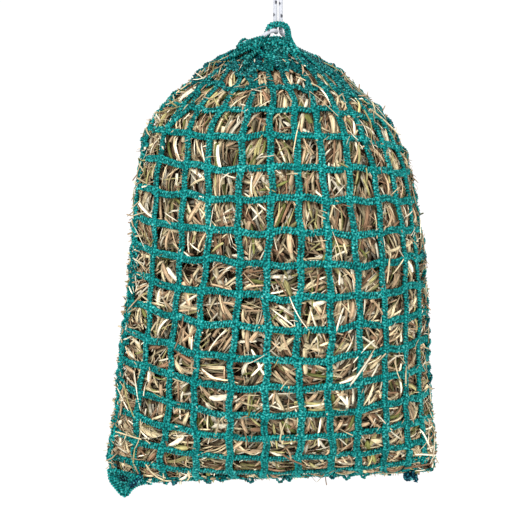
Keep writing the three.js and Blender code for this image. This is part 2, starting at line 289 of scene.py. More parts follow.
class Shading:
    """A material with a principled shader, and the nodes that feed it."""

    def __init__(self, name, roughness, specular, sheen=0.0):
        self.material = bpy.data.materials.new(name)
        self.material.use_nodes = True
        self.nodes, self.links = self.material.node_tree.nodes, self.material.node_tree.links
        self.inputs = self.nodes["Principled BSDF"].inputs
        self.inputs["Roughness"].default_value = roughness
        self.inputs["Sheen Weight"].default_value = sheen
        self.inputs["Specular IOR Level"].default_value = specular

    def feed(self, value, name):
        """Link a value to one of the shader's inputs."""
        self.links.new(value, self.inputs[name])

    def place(self):
        """The place on the object."""
        return self.nodes.new("ShaderNodeTexCoord").outputs["Object"]

    def attribute(self, name, output):
        """An attribute's output."""
        node = self.nodes.new("ShaderNodeAttribute")
        node.attribute_name = name
        return node.outputs[output]

    def noise(self, vector, stretch, scale=1.0, detail=4.0):
        """A noise texture over a stretched vector."""
        mapping = self.nodes.new("ShaderNodeMapping")
        mapping.inputs["Scale"].default_value = stretch
        self.links.new(vector, mapping.inputs["Vector"])
        noise = self.nodes.new("ShaderNodeTexNoise")
        noise.inputs["Scale"].default_value = scale
        noise.inputs["Detail"].default_value = detail
        self.links.new(mapping.outputs["Vector"], noise.inputs["Vector"])
        return noise.outputs["Fac"]

    def ramp(self, value, *stops):
        """A colour ramp from (place, grey or colour) stops."""
        node = self.nodes.new("ShaderNodeValToRGB")
        elements = node.color_ramp.elements
        while len(elements) < len(stops):
            elements.new(0.5)
        for element, (place, colour) in zip(elements, stops):
            element.position = place
            element.color = (*np.broadcast_to(colour, 3), 1)
        self.links.new(value, node.inputs["Fac"])
        return node.outputs["Color"]

    def mixed(self, a, b, share=None):
        """Two colours mixed by a varying share, or multiplied when there is none."""
        mix = self.nodes.new("ShaderNodeMix")
        mix.data_type = "RGBA"
        if share is None:
            mix.blend_type = "MULTIPLY"
            mix.inputs["Factor"].default_value = 1.0
        else:
            self.links.new(share, mix.inputs["Factor"])
        self.links.new(a, mix.inputs["A"])
        self.links.new(b, mix.inputs["B"])
        return mix.outputs["Result"]

    def bump(self, height, strength, distance):
        """Bump from a height."""
        bump = self.nodes.new("ShaderNodeBump")
        bump.inputs["Strength"].default_value = strength
        bump.inputs["Distance"].default_value = distance
        self.links.new(height, bump.inputs["Height"])
        self.feed(bump.outputs["Normal"], "Normal")


def knit_material(name, roughness):
    """Knitted polyethylene yarn: fine filaments, uneven stitches, and pale teal painted highlights on a
    few of them.
    """
    look = Shading(name, roughness, 0.07)
    place = look.place()
    filaments = look.noise(look.attribute("lay", "Vector"), (0.7, 3.0, 1.0))
    stitches = look.noise(place, (1, 1, 1), 420.0, 2.0)
    patches = look.noise(place, (1, 1, 1), 30.0, 3.0)
    colour = look.mixed(look.attribute("tint", "Color"), look.ramp(filaments, (0.3, 0.62), (0.7, 1.2)))
    # Darker and brighter specks over the stitches: uneven tone, and painted light and shade between the
    # crests.
    colour = look.mixed(colour, look.ramp(stitches, (0.38, 0.27), (0.48, 0.87), (0.57, 1.34)))
    # Painted highlights: pale teal mixed into the brightest specks.
    pale = look.ramp(patches, (0.3, srgb(64, 196, 186)), (0.7, srgb(132, 222, 214)))
    colour = look.mixed(colour, pale, look.ramp(stitches, (0.54, 0.0), (0.62, 0.2), (0.72, 0.75)))
    look.feed(look.mixed(colour, look.ramp(patches, (0.3, 0.78), (0.7, 1.12))), "Base Color")
    look.feed(look.ramp(filaments, (0.2, roughness - 0.12), (0.8, roughness + 0.12)), "Roughness")
    look.bump(filaments, 0.7, 0.0007)
    return look.material


def hay_material():
    """Dry stems and leaf blades: streaks along each, dull, with paler and darker lengths."""
    look = Shading("hay_stems", 0.85, 0.04)
    lay = look.attribute("lay", "Vector")
    streaks = look.noise(lay, (0.06, 2.6, 9.0))
    lengths = look.noise(lay, (0.12, 0.1, 5.0), detail=2.0)
    colour = look.mixed(look.attribute("tint", "Color"), look.ramp(streaks, (0.32, 0.38), (0.62, 1.22)))
    look.feed(look.mixed(colour, look.ramp(lengths, (0.3, 0.72), (0.65, 1.08))), "Base Color")
    look.feed(look.ramp(streaks, (0.2, 0.6), (0.8, 0.85)), "Roughness")
    look.bump(streaks, 0.5, 0.0005)
    return look.material


def painted_shade_bed_material():
    """The depths of the hay behind the outer stems, coloured very dark brown as painted shade."""
    look = Shading("hay_depths_painted_shade", 0.95, 0.1)
    fibres = look.noise(look.place(), (60, 60, 340), detail=6.0)
    # Painted shade: near-black browns where the hay lies deep in shade.
    look.feed(look.ramp(fibres, (0.35, srgb(12, 8, 5)), (0.7, srgb(50, 36, 22))), "Base Color")
    look.bump(fibres, 1.0, 0.004)
    return look.material


def cord_material():
    """Braided white polyester cord with its dark tracer yarn in the point colours."""
    look = Shading("braided_cord", 0.55, 0.4, sheen=0.3)
    yarn = look.noise(look.attribute("lay", "Vector"), (1.4, 4.0, 1.0))
    tint = look.attribute("tint", "Color")
    look.feed(look.mixed(tint, look.ramp(yarn, (0.3, 0.78), (0.7, 1.05))), "Base Color")
    look.feed(look.ramp(yarn, (0.2, 0.45), (0.8, 0.7)), "Roughness")
    look.bump(yarn, 0.5, 0.0005)
    return look.material


# ---- knitted strands
TEAL = srgb(0, 134, 130)
DARK_TEAL = srgb(0, 62, 84)
STRAND_HALF_WIDTH, STRAND_HALF_THICKNESS = 3.7, 2.3
KNIT_PITCH = 3.1
KNIT_STEPS = 4
KNIT_SIDES = 10
KNIT_HEIGHT = 0.62
KNIT_GROOVE = 0.6
GROOVE_WIDTH = 0.3
CROSSING_REACH = 0.16
CROSSING_SWELL = 0.14
CHEVRON_SLANT = 0.55
RIB_SLANT = 0.42
# Painted light and shade on a strand: its colour is brighter on the stitch crests and the swollen
# crossings, and darker between stitches and in the groove.
PAINTED_SHADING_BASE = 0.8
STITCH_PAINTED_SHADING = 0.45
GROOVE_PAINTED_SHADE = 0.4
SWELL_PAINTED_LIGHT = 0.2


def yarn_path(points):
    """A smooth path with the spacing of a knitted strand's rings."""
    return smooth_path(points, KNIT_PITCH / KNIT_STEPS)


def knit_rings(path, outward, slant, swell, scale, base, phase, twin=True):
    """The rings, colours and lay of one knitted strand along a path. slant is how far the
    stitches lean from the middle; a twin strand has two rows of stitches side by side."""
    run = run_length(path)
    out, sideways = frames_along(path, outward)
    turn = 2 * np.pi * (np.arange(KNIT_SIDES) + 0.5) / KNIT_SIDES
    across = np.cos(turn)[None, :]
    along = run[:, None] / KNIT_PITCH + phase
    lean = np.abs(across) if slant == CHEVRON_SLANT else across
    stitch = np.cos(2 * np.pi * (along + slant * lean * np.sign(np.sin(turn))[None, :]))
    groove = np.exp(-((across / GROOVE_WIDTH) ** 2)) if twin else 0 * across
    height = KNIT_HEIGHT * stitch - KNIT_GROOVE * groove
    if swell is None:
        swell = np.zeros(len(path))
    grow = scale * (1 + CROSSING_SWELL * swell[:, None])
    wide = (STRAND_HALF_WIDTH * grow + height) * np.cos(turn)
    thick = (STRAND_HALF_THICKNESS * grow + height) * np.sin(turn)
    rings = path[:, None] + sideways[:, None] * wide[..., None] + out[:, None] * thick[..., None]
    # Painted light and shade: brighter on stitch crests and swollen crossings, darker in the troughs
    # and the middle groove.
    shade = PAINTED_SHADING_BASE + STITCH_PAINTED_SHADING * stitch - GROOVE_PAINTED_SHADE * groove + SWELL_PAINTED_LIGHT * swell[:, None]
    colours = base * np.clip(shade, 0.2, 1.5)[..., None]
    lay = np.stack(np.broadcast_arrays(run[:, None], turn[None, :] * 2, 7.3 * phase), axis=-1)
    return rings, colours, lay


def even_run(q, row):
    """q and row resampled to the spacing of a strand's rings on the bag."""
    run = run_length(bag_point(q, row))
    at = np.linspace(0, run[-1], max(3, int(round(run[-1] / (KNIT_PITCH / KNIT_STEPS))) + 1))
    return np.interp(at, run, q), np.interp(at, run, row)


COLUMN_RISE, ROW_RISE = 0.35, -0.3
COLUMN_DRIFT = 0.05
SHADE_SPREAD = 0.04
STRAND_RIPPLE = 0.03
RIPPLE_RATE = 4.4
GATHERED_ROWS = 3.6
GATHERED_THINNING = 0.42
GATHERED_PAINTED_SHADE = 0.68
PLEAT_ROWS = 3.2
PLEAT_DEPTH = 4.0


def pleat(q, row):
    """How far the gathered netting stands out or in near the mouth, in mm."""
    gathered = np.clip(1 - row / PLEAT_ROWS, 0, 1) ** 1.4
    return PLEAT_DEPTH * gathered * (0.7 * np.cos(np.pi * q) + 0.6 * wobble(q * 1.7, row, 5))


def net_line(tubes, q, row, slant, crossing, rise, phase, base, scale=1.0):
    """Add one strand that follows the bag through the given places. It is thinner and less even
    where the netting is gathered, and darker there with painted shade."""
    q, row = even_run(q, row)
    gathered = np.clip(1 - row / GATHERED_ROWS, 0, 1)
    ripple = STRAND_RIPPLE * np.sin(RIPPLE_RATE * np.stack([row, q]) + 40 * phase)
    q, row = q + ripple[0], row + ripple[1] * np.clip(ROWS - row, 0, 1)
    q = q + 0.5 * gathered * wobble(q * 3.1 + 9 * phase, row * 2.2, 11)
    row = np.clip(row + 0.35 * gathered * wobble(q * 2.3, row + 5 * phase, 4), 0, ROWS)
    point, normal, _, _ = bag_frame(q, row)
    lift = rise + pleat(q, row) + 0.5 * wobble(q * 2, row * 2, 7 + phase)
    path = point + normal * lift[:, None]
    crossed = row if crossing == "row" else q
    swell = np.exp(-(((crossed - np.round(crossed)) / CROSSING_REACH) ** 2))
    size = scale * (1 - GATHERED_THINNING * gathered)
    # Painted shade where the netting is gathered: darker, and turned towards the dark teal.
    darker = (GATHERED_PAINTED_SHADE * gathered)[:, None, None]
    shade = base * (1 - darker) + 0.45 * DARK_TEAL * darker
    tubes.add(*knit_rings(path, normal, slant, swell, size[:, None], shade, phase))


def carried_strand(tubes, points, first, scale, base, phase, twin=True):
    """Add a free strand along chosen points. Its wide side starts out facing first."""
    path = yarn_path(points)
    outward = carried_outward(path, first)
    tubes.add(*knit_rings(path, outward, RIB_SLANT, None, scale, base, phase, twin))


def net_columns(name, first, last):
    """The strands that run from the mouth to the bottom seam, as one piece."""
    tubes = Tubes()
    rng = np.random.default_rng(first + 11)
    for column in range(first, last + 1):
        row = np.linspace(0, ROWS, 120)
        q = column + rng.normal(0, COLUMN_DRIFT) * np.sin(np.pi * row / ROWS)
        shade = TEAL * (1 + rng.normal(0, SHADE_SPREAD))
        net_line(tubes, q, row, CHEVRON_SLANT, "row", COLUMN_RISE, rng.random(), shade)
    return tubes.make(name)


def net_rows(name, first, last):
    """The strands that run across a panel, from one side seam to the other, as one piece."""
    tubes = Tubes()
    rng = np.random.default_rng(first + 23)
    for index in range(1, ROWS + 1):
        q = np.linspace(first, last, 100)
        row = np.full(100, float(index))
        shade = TEAL * (0.97 + rng.normal(0, SHADE_SPREAD))
        net_line(tubes, q, row, RIB_SLANT, "column", ROW_RISE, rng.random(), shade)
    return tubes.make(name)


# ---- the gathered mouth
MOUTH_CENTRE = node_middle("mouth_border")
MOUTH_HEART_DROP = 30.0
UP = np.array([0.0, 0.0, 1.0])
# How far below the top of the standing mesh the gathered netting stays, by x, in mm.
SHOULDER_LINE = [(-120, 92), (-81, 44), (-44, 28), (-24, 18.5), (-13, 13), (-11, 18.5), (9, 18.5),
                 (11, 20), (19, 28), (49, 44), (100, 92)]


def under_shoulders(path, half):
    """The path, lowered where it would stand above the bag's shoulders."""
    place, drop = np.array(SHOULDER_LINE, float).T
    top = BAG_TOP_Z - np.interp(path[:, 0], place, drop) - half
    return np.column_stack([path[:, :2], np.minimum(path[:, 2], top)])


def free_strand(tubes, points, scale, rng, base, wide=None):
    """Add a knitted strand along given points. Its wide side faces towards wide. Without
    wide it faces away from the mouth's middle, and the strand stays below the shoulders."""
    path = yarn_path(points)
    away = np.tile(wide or (0, 0, 1), (len(path), 1))
    if wide is None:
        path = yarn_path(under_shoulders(path, STRAND_HALF_WIDTH * scale)[::3])
        away = path - MOUTH_CENTRE + [0, 0, MOUTH_HEART_DROP]
    tubes.add(*knit_rings(path, away, RIB_SLANT, None, scale, base, rng.random()))


BORDER_TURNS = [(21.0, 1.5), (18.0, 4.0), (13.0, 0.5), (8.0, -0.5)]
BORDER_SCALE = 0.72
TUFTS = 32
# The meshes that the drawcord runs through: where along it, and their points across it.
THREADED_SHARES = (0.4, 0.8)
THREADED_MESHES = 11
THREADED_SCALE = 0.54
OVER_CORD = [(-8, -8, -1), (-4.9, -1, -0.6), (-2.4, 3.5, -0.2), (1.5, 4.1, 0.2), (4.9, 0.3, 0.6),
             (8.2, -8, 1)]


def spoke(centre, toward, aside, table):
    """Points by distance out from a centre, rise and share of a sideways shift."""
    return [centre + toward * out + UP * rise + aside * share for out, rise, share in table]


def mouth_border():
    """The border strand round the mouth, and the bunched meshes that the drawcord runs through."""
    tubes = Tubes()
    rng = np.random.default_rng(31)
    turn = np.linspace(0, 2 * np.pi, 60)
    x, y, z = MOUTH_CENTRE
    # The strands round the mouth are drawn darker than the teal by random amounts: painted shade of the
    # gathered mouth, with uneven tone.
    for radius, drop in BORDER_TURNS:
        uneven = radius + 1.6 * np.sin(5 * turn + radius)
        ring = np.stack([x + uneven * np.cos(turn), y + uneven * np.sin(turn),
                         z - drop + 2.2 * np.cos(7 * turn + radius)], axis=1)
        free_strand(tubes, ring, BORDER_SCALE, rng, TEAL * rng.uniform(0.4, 0.7))
    for i in range(TUFTS):
        turn = 2 * np.pi * (i + rng.normal(0, 0.3)) / TUFTS
        toward = np.array([math.cos(turn), math.sin(turn), 0.0])
        beside = np.array([-toward[1], toward[0], 0.0]) * rng.normal(0, 3.4)
        inner, high = rng.uniform(3, 12), rng.uniform(-1.0, 3.5)
        q = AROUND * ((turn - np.pi) % (2 * np.pi)) / (2 * np.pi) + rng.normal(0, 0.25)
        lying, normal, _, _ = bag_frame(np.array([q, q]), rng.uniform(0.4, 0.7) + np.array([0, 0.6]))
        lying = lying + normal * [[4.0], [2.6]]
        over = [(inner, -rng.uniform(3, 9), 0), (inner + 6, high - 1, 0.3), (21, high, 0.8),
                (26, high - 6, 1.2)]
        points = [*spoke(MOUTH_CENTRE, toward, beside, over), *lying]
        base = DARK_TEAL * rng.uniform(0.5, 1.0) if i % 3 == 0 else TEAL * rng.uniform(0.35, 0.9)
        free_strand(tubes, points, rng.uniform(0.5, 0.8), rng, base)
    cord = smooth_path(MOUTH_CORD_ROUTE, CORD_STEP)
    for share in np.linspace(*THREADED_SHARES, THREADED_MESHES):
        place = cord[int(len(cord) * (share + rng.uniform(-0.01, 0.01)))]
        toward = unit((place - MOUTH_CENTRE) * [1, 1, 0])
        beside = np.array([-toward[1], toward[0], 0.0]) * rng.normal(0, 2.0)
        path = yarn_path(spoke(place, toward, beside, OVER_CORD))
        tubes.add(*knit_rings(path, path - place + 4 * UP, RIB_SLANT, None, THREADED_SCALE,
                              TEAL * rng.uniform(0.5, 0.9), rng.random()))
    return tubes.make("mouth_border_meshes")


LOOP_STRAND = 3.6
LOOP_SCALE = 0.95
# The arch: side (left -1, middle 0, right 1), x from there, y, and drop below the arch's top.
LOOP_ARCH = [
    (-1, -16, -31, 32), (-1, -9, -27, 22), (-1, -2.5, -17, 14), (-1, -0.4, -11.6, 8),
    (-1, 2.6, -7.6, 1.9), (0, 0, -7.6, 0), (1, -2.6, -7.6, 1.9), (1, 0.2, -11.6, 8),
    (1, 1.2, -17, 16), (1, 5, -26, 25), (1, 12, -33, 37),
]
# Strands bunched round the feet of the standing mesh: x, y and drop, then size and shade.
LOOP_FEET = [
    ([(-9, -25, 19), (-3, -27, 18), (4, -26, 19), (12, -24, 22)], 0.8, 0.62),
    ([(-14, -27, 19), (-21, -28, 23), (-30, -26, 27), (-42, -19, 32), (-53, -7, 37)], 0.85, 0.8),
    ([(-12, -28, 21), (-5, -30, 24), (3, -30, 23), (11, -29, 25)], 0.85, 0.95),
    ([(-11, -29, 25), (-9, -31, 33), (-13, -36, 43), (-12, -41, 52)], 0.75, 0.55),
    ([(-1, -28, 20), (0, -31, 29), (-3, -36, 39), (1, -42, 50)], 0.8, 0.7),
    ([(6, -27, 21), (9, -31, 30), (8, -37, 41), (13, -42, 52)], 0.75, 0.85),
    ([(-22, -28, 24), (-25, -32, 33), (-33, -36, 41), (-38, -39, 49)], 0.75, 0.5),
    ([(13, -25, 25), (20, -28, 33), (25, -33, 42), (34, -36, 50)], 0.8, 0.75),
    ([(-18, -29, 22), (-12, -31, 29), (-3, -32, 31), (7, -32, 30), (16, -30, 33)], 0.7, 0.5),
    ([(-30, -29, 28), (-22, -31, 32), (-16, -34, 38), (-6, -35, 39)], 0.7, 0.9),
    ([(10, -25, 20), (16, -25, 27), (24, -25, 33), (34, -20, 37), (44, -13, 43)], 0.8, 0.6),
    ([(-24, -24, 22), (-33, -21, 28), (-43, -14, 32), (-56, -4, 39)], 0.8, 0.55),
    ([(-15, -29.6, 18.4), (-21, -30, 19), (-28, -28.5, 21), (-36, -24, 23.6), (-46, -18, 28)],
     0.85, 0.8),
    ([(-14, -29.6, 23), (-22, -29.8, 24), (-30, -26.8, 25.6), (-39, -20, 28)], 0.8, 0.6),
]


def mouth_loop():
    """The border mesh that stands up on the drawcord, its wide side to the front."""
    tubes = Tubes()
    rng = np.random.default_rng(5)
    low, high = (np.array(corner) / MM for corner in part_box("mouth_loop"))
    middle_x = (low[0] + high[0]) / 2
    half = (high[0] - low[0]) / 2 - LOOP_STRAND
    top = BAG_TOP_Z - LOOP_STRAND
    arch = [(middle_x + side * half + x, y, top - drop) for side, x, y, drop in LOOP_ARCH]
    free_strand(tubes, arch, LOOP_SCALE, rng, TEAL, (0, -1, 0.15))
    for points, scale, shade in LOOP_FEET:
        path = [(middle_x + x, y, top - drop) for x, y, drop in points]
        free_strand(tubes, path, scale, rng, TEAL * shade, (0, -1, 0.3))
    return tubes.make("mouth_standing_mesh")


# Folded-over strands below the mouth. Each place is in 28ths of the way round the bag, and a row.
SHOULDER_PLACES = 28
SHOULDER_STRANDS = [
    ((4.6, 0.3), (4.0, 1.2), (4.5, 2.1)),
    ((7.4, 0.6), (8.0, 1.5), (7.6, 2.3)),
    ((10.8, 0.5), (11.3, 1.4), (10.7, 2.4)),
    ((12.4, 0.6), (12.2, 1.6), (12.9, 2.6), (12.6, 3.4)),
    ((1.6, 0.8), (1.1, 1.9), (1.7, 3.0), (1.2, 3.9)),
    ((16.0, 0.5), (16.7, 1.5), (16.1, 2.6)),
    ((18.5, 0.4), (18.0, 1.3), (18.7, 2.4), (18.2, 3.3)),
    ((21.0, 0.4), (21.6, 1.4), (21.1, 2.5)),
    ((23.5, 0.5), (23.0, 1.6), (23.7, 2.8), (23.2, 3.5)),
    ((26.0, 0.7), (26.6, 1.8), (26.0, 2.9)),
    ((2.0, 1.0), (3.6, 1.5), (5.2, 1.2)),
    ((9.0, 1.6), (10.5, 1.1), (12.2, 1.5)),
    ((16.5, 1.2), (18.2, 0.8), (20.1, 1.3)),
    ((21.0, 1.0), (22.8, 1.5), (24.6, 1.1)),
]


def shoulder_gather():
    """Folded-over strands where the netting bunches below the mouth."""
    tubes = Tubes()
    rng = np.random.default_rng(17)
    for strand in SHOULDER_STRANDS:
        places = [(round(place * AROUND / SHOULDER_PLACES, 1), row) for place, row in strand]
        spread = catmull(np.array(places), np.linspace(0, 1, 40))
        net_line(tubes, spread[:, 0], spread[:, 1], RIB_SLANT, "column", rng.uniform(1.4, 3.2),
                 rng.random(), TEAL * rng.uniform(0.6, 1.05), scale=0.95)
    return tubes.make("shoulder_gather")


# ---- seam lacing and corner knots
LACING_TURN = 11.0
LACING_SWING = 2.4
SIDE_LACING_SCALE, BOTTOM_LACING_SCALE = 0.55, 0.6


def side_lacing(name, q_seam):
    """A zigzag of lacing round the two edge strands of a side seam."""
    tubes = Tubes()
    row = np.linspace(0.4, ROWS - 0.1, 400)
    point, normal, across, _ = bag_frame(np.full(400, float(q_seam)), row)
    run = run_length(point)
    swing = LACING_SWING * np.sin(np.pi * run / LACING_TURN)
    rise = 2.0 + 0.7 * np.cos(2 * np.pi * run / LACING_TURN)
    path = point + unit(across) * swing[:, None] + normal * rise[:, None]
    path = yarn_path(path[::2])
    outward = path - UP * path[:, 2:] - MOUTH_CENTRE * np.array([1, 1, 0])
    tubes.add(*knit_rings(path, outward, RIB_SLANT, None, SIDE_LACING_SCALE, TEAL * 0.92, 0.3, False))
    return tubes.make(name)


def bottom_lacing():
    """Lacing wound round the doubled strands of the bottom seam."""
    tubes = Tubes()
    q = np.linspace(0.3, COLUMNS - 0.3, 500)
    point = bag_point(q, np.full(500, float(ROWS)))
    point[:, 1] = 0
    run = run_length(point)
    turn = 2 * np.pi * run / (1.6 * LACING_TURN)
    path = point + np.stack([0 * turn, 3.6 * np.cos(turn), 1.1 * np.sin(turn) - 0.6], axis=1)
    path = yarn_path(path[::2])
    outward = path - point.mean(axis=0) + 200.0 * UP
    tubes.add(*knit_rings(path, outward, RIB_SLANT, None, BOTTOM_LACING_SCALE, TEAL * 0.9, 0.6, False))
    return tubes.make("bottom_seam_lacing")


TUFTS_PER_SIDE = 28
BOTTOM_TUFTS = 15
TUFT_SCALE = 0.62
SIDE_TUFT_REACH, BOTTOM_TUFT_REACH = (2.0, 5.0), (2.5, 7.0)


def seam_tufts():
    """Small bunched folds of netting that stand out along the seams."""
    tubes = Tubes()
    rng = np.random.default_rng(43)
    for i in range(2 * TUFTS_PER_SIDE + BOTTOM_TUFTS):
        if i < 2 * TUFTS_PER_SIDE:
            q0 = COLUMNS * (i % 2)
            row0 = 0.6 + (ROWS - 1.2) * rng.random() ** 1.7
            away = np.array([2.0 * (i % 2) - 1.0, rng.normal(0, 0.4), 1.0 - 1.7 * row0 / ROWS])
            q = q0 + rng.choice([-1, 1]) * np.array([-0.3, 0.0, 0.3])
            row = row0 + rng.uniform(0.1, 0.4) * np.array([-1, 0, 1])
            reach = rng.uniform(*SIDE_TUFT_REACH)
        else:
            q = rng.uniform(0.7, COLUMNS - 1.6) + rng.uniform(0.08, 0.2) * np.array([-1, 0, 1])
            row = np.array([ROWS - 0.1, ROWS, ROWS - 0.1])
            away = np.array([rng.normal(0, 0.3), rng.normal(0, 0.3), -1.0])
            reach = rng.uniform(*BOTTOM_TUFT_REACH)
        points = bag_point(q, row) + np.outer([0.2, 1.0, 0.2], away * reach)
        share = rng.uniform(0, 0.8)
        base = TEAL * (1 - share) + DARK_TEAL * share
        carried_strand(tubes, points, away, TUFT_SCALE * rng.uniform(0.8, 1.2), base, rng.random())
    return tubes.make("seam_tufts")


def right_corner_knot():
    """The tied right corner: a strand wound into a knot, and its tails."""
    tubes = Tubes()
    rng = np.random.default_rng(17)
    low, high = (np.array(corner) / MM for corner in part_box("corner_knot_right"))
    middle, half = (low + high) / 2 + KNOT_TUCK * UP, (high - low) / 2
    t = np.linspace(0, 2 * np.pi * CORNER_TURNS, 90)
    wound = np.stack([
        np.cos(t) * (0.62 + 0.28 * np.cos(1.5 * t)),
        np.sin(1.5 * t + 0.6) * 0.75,
        np.sin(t) * (0.6 + 0.25 * np.cos(1.5 * t)) + 0.25,
    ], axis=1)
    for points, tilt in ((wound, 0.2), *((np.array(tail), 0.1) for tail in RIGHT_TAILS)):
        carried_strand(tubes, middle + points * half, (0, -1, tilt), CORNER_SCALE, DARK_TEAL,
                       rng.random(), False)
    return tubes.make("right_corner_knot")


LEFT_EAR = [
    (TEAL, [(-190, -3, -620), (-188, -7, -631), (-182, -6, -640), (-173, -4, -649),
            (-165, -6, -641), (-157, -8, -636), (-148, -7, -634)]),
    (TEAL * 0.85, [(-185, -7, -619), (-183, -10, -629), (-178, -9, -636), (-173, -6, -643),
                   (-168, -9, -637), (-162, -12, -632), (-154, -13, -630)]),
    (TEAL * 0.7, [(-187, 4, -618), (-187, 6, -628), (-180, 5, -638), (-173, 3, -646),
                  (-166, 6, -638), (-158, 8, -633)]),
    (TEAL * 0.7, [(-180, -10, -622), (-178, -12, -629), (-173, -10, -637), (-168, -12, -631),
                  (-164, -14, -626)]),
    (TEAL * 0.95, [(-191, -4, -623), (-183, -13, -622), (-172, -15, -624), (-162, -16, -627),
                   (-153, -13, -631)]),
    # A near-black strand: painted shade in the hollow inside the fold.
    (DARK_TEAL * 0.3, [(-177, -12, -624), (-174, -13, -631), (-170, -13, -626)]),
    (DARK_TEAL, [(-166, -9, -639), (-161, -13, -635), (-156, -15, -631), (-154, -15, -625)]),
]
EAR_SCALE = 0.82


def folded_ear():
    """The left corner of the netting, folded over to a point, with a hollow inside the fold, where a
    near-black strand is painted shade.
    """
    tubes = Tubes()
    for index, (base, points) in enumerate(LEFT_EAR):
        carried_strand(tubes, points, (0, -1, -0.3), EAR_SCALE, base, index * 0.3)
    return tubes.make("left_corner_ear")


KNOT_TUCK = 3.0
CORNER_TURNS = 4
CORNER_SCALE = 0.62
RIGHT_TAILS = [
    ((0.1, 0.0, 0.5), (0.3, -0.4, 1.5), (0.1, -0.2, 2.4)),
    ((0.3, 0.2, 0.2), (0.9, -0.5, -0.2), (0.8, -0.7, -0.9)),
    ((-0.2, 0.0, 0.4), (-0.7, 0.5, 1.3), (-0.4, 0.4, 2.3)),
]


# ---- the drawcord
CORD_RADIUS = 2.5
CORD_SIDES = 16
CORD_STEP = 0.7
BRAID_PITCH = 4.4
BRAID_STRANDS = 4
BRAID_HEIGHT = 0.24
FLECK_SPACING = 14.0
FLECK_LENGTH = 4.0
FLECK_SHARE = 0.7
CORD_WHITE = srgb(206, 208, 216)
FLECK_DARK = srgb(40, 42, 58)
LEG_SPACING = 3.2
LEG_START_Z = -66.0
LEG_HIDDEN_Z = -124.5


def cord_rings(path, radius=CORD_RADIUS, shift=0.0):
    """The rings, colours and lay of a braided cord along a path."""
    run = run_length(path)[:, None]
    out, sideways = frames_along(path, carried_outward(path, (0, -1, 0.05)))
    turn = (2 * np.pi * np.arange(CORD_SIDES) / CORD_SIDES)[None, :]
    left = np.cos(2 * np.pi * run / BRAID_PITCH + BRAID_STRANDS * turn)
    right = np.cos(2 * np.pi * run / BRAID_PITCH - BRAID_STRANDS * turn)
    braid = left * right
    r = radius - BRAID_HEIGHT + BRAID_HEIGHT * braid
    rings = path[:, None] + (sideways[:, None] * (r * np.cos(turn))[..., None]
                             + out[:, None] * (r * np.sin(turn))[..., None])
    place = (run + shift) / FLECK_SPACING
    facing = np.pi / 2 + 0.7 * np.where(np.round(place) % 2 == 0, 1, -1)
    along = np.abs(place - np.round(place)) * FLECK_SPACING / (FLECK_LENGTH / 2)
    around = np.abs(np.angle(np.exp(1j * (turn - facing + 0.5 * along)))) / FLECK_SHARE
    fleck = np.clip(1.6 - along**2 - around**2, 0, 1)[..., None]
    # Painted light and shade on the braid: lighter on its raised strands, darker between them.
    shade = np.clip(0.86 + 0.16 * braid, 0, 1.1)[..., None]
    colours = (CORD_WHITE * (1 - fleck) + FLECK_DARK * fleck) * shade
    lay = np.stack(np.broadcast_arrays(run, turn * radius, 0.0), axis=-1)
    return rings, colours, lay


# The cord round the mouth, by x, y and drop below the top of the standing mesh, in mm.
MOUTH_CORD_ROUTE = [(x, y, BAG_TOP_Z - drop) for x, y, drop in (
    (-3.2, 0, 8.6), (-3, -0.8, 11.2), (-2, -6, 12.6), (-2.2, -12, 12.2), (-5, -18, 12.2),
    (-10, -21.5, 14), (-15, -24.2, 17.5), (-21, -24.8, 21.5), (-29, -20.5, 24), (-37, -10, 24.5),
    (-38.5, 4, 24.5), (-31, 18, 24.5), (-14, 27.5, 24.5), (0, 28, 23.8), (8, 25, 21.5),
    (12, 19.5, 18), (11, 13.5, 16), (7.5, 8, 14.6), (4.6, 3, 13), (3.4, 0.3, 11), (3.2, 0, 8.6),
)]
EYE_BOTTOM_Z = -49.0
EYE_HALF = 9.5
EYE_ROUTE = [
    (-3.6, 0, EYE_BOTTOM_Z), (-EYE_HALF * 0.55, 0, -37), (-EYE_HALF, 0, -20),
    (-EYE_HALF * 0.9, 0, -7), (-EYE_HALF * 0.5, 0, 0), (0, 0, CORD_RADIUS),
    (EYE_HALF * 0.5, 0, 0), (EYE_HALF * 0.9, 0, -7), (EYE_HALF, 0, -20),
    (EYE_HALF * 0.55, 0, -37), (3.6, 0, EYE_BOTTOM_Z),
]
KNOT_RADIUS = 5.6
KNOT_WIDTH_SCALE = 1.12
KNOT_PAIR_SPREAD = 2.1
KNOT_POINTS = 150


def place_piece(piece, node, material, body="bag", replaces=True):
    """Hide the CAD node a piece stands in for, unless told not to, attach the piece to its body, if it
    has one, and give it its material.
    """
    if replaces:
        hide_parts(node)
    if body:
        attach(piece, body)
    piece.data.materials.append(material)
    return piece


def add_cord(name, route, node, body, material, **options):
    """A braided cord along a route in mm."""
    path = smooth_path(route, CORD_STEP)
    tubes = Tubes()
    tubes.add(*cord_rings(path, **options))
    piece = place_piece(tubes.make(name), node, material, body)
    path = path * MM
    return piece


def add_cords():
    """The eye, the knot, the two legs and the cord round the mouth."""
    material = cord_material()
    add_cord("eye_cord", EYE_ROUTE, "hanging_eye", "hanger", material)
    place_piece(overhand_knot(), "hanging_knot", material, "knot")
    for name, side in (("left", -1), ("right", 1)):
        x = side * LEG_SPACING
        route = [(x * 0.8, 0, LEG_START_Z), (x, 0, -80), (x, 0, -110), (x, 0, LEG_HIDDEN_Z)]
        leg = add_cord("drawcord_" + name, route, "drawcord_leg_" + name, None, material,
                       shift=FLECK_SPACING * (0.5 + 0.45 * side))
        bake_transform(leg)
    add_cord("mouth_cord", MOUTH_CORD_ROUTE, "drawcord_mouth", "bag", material)


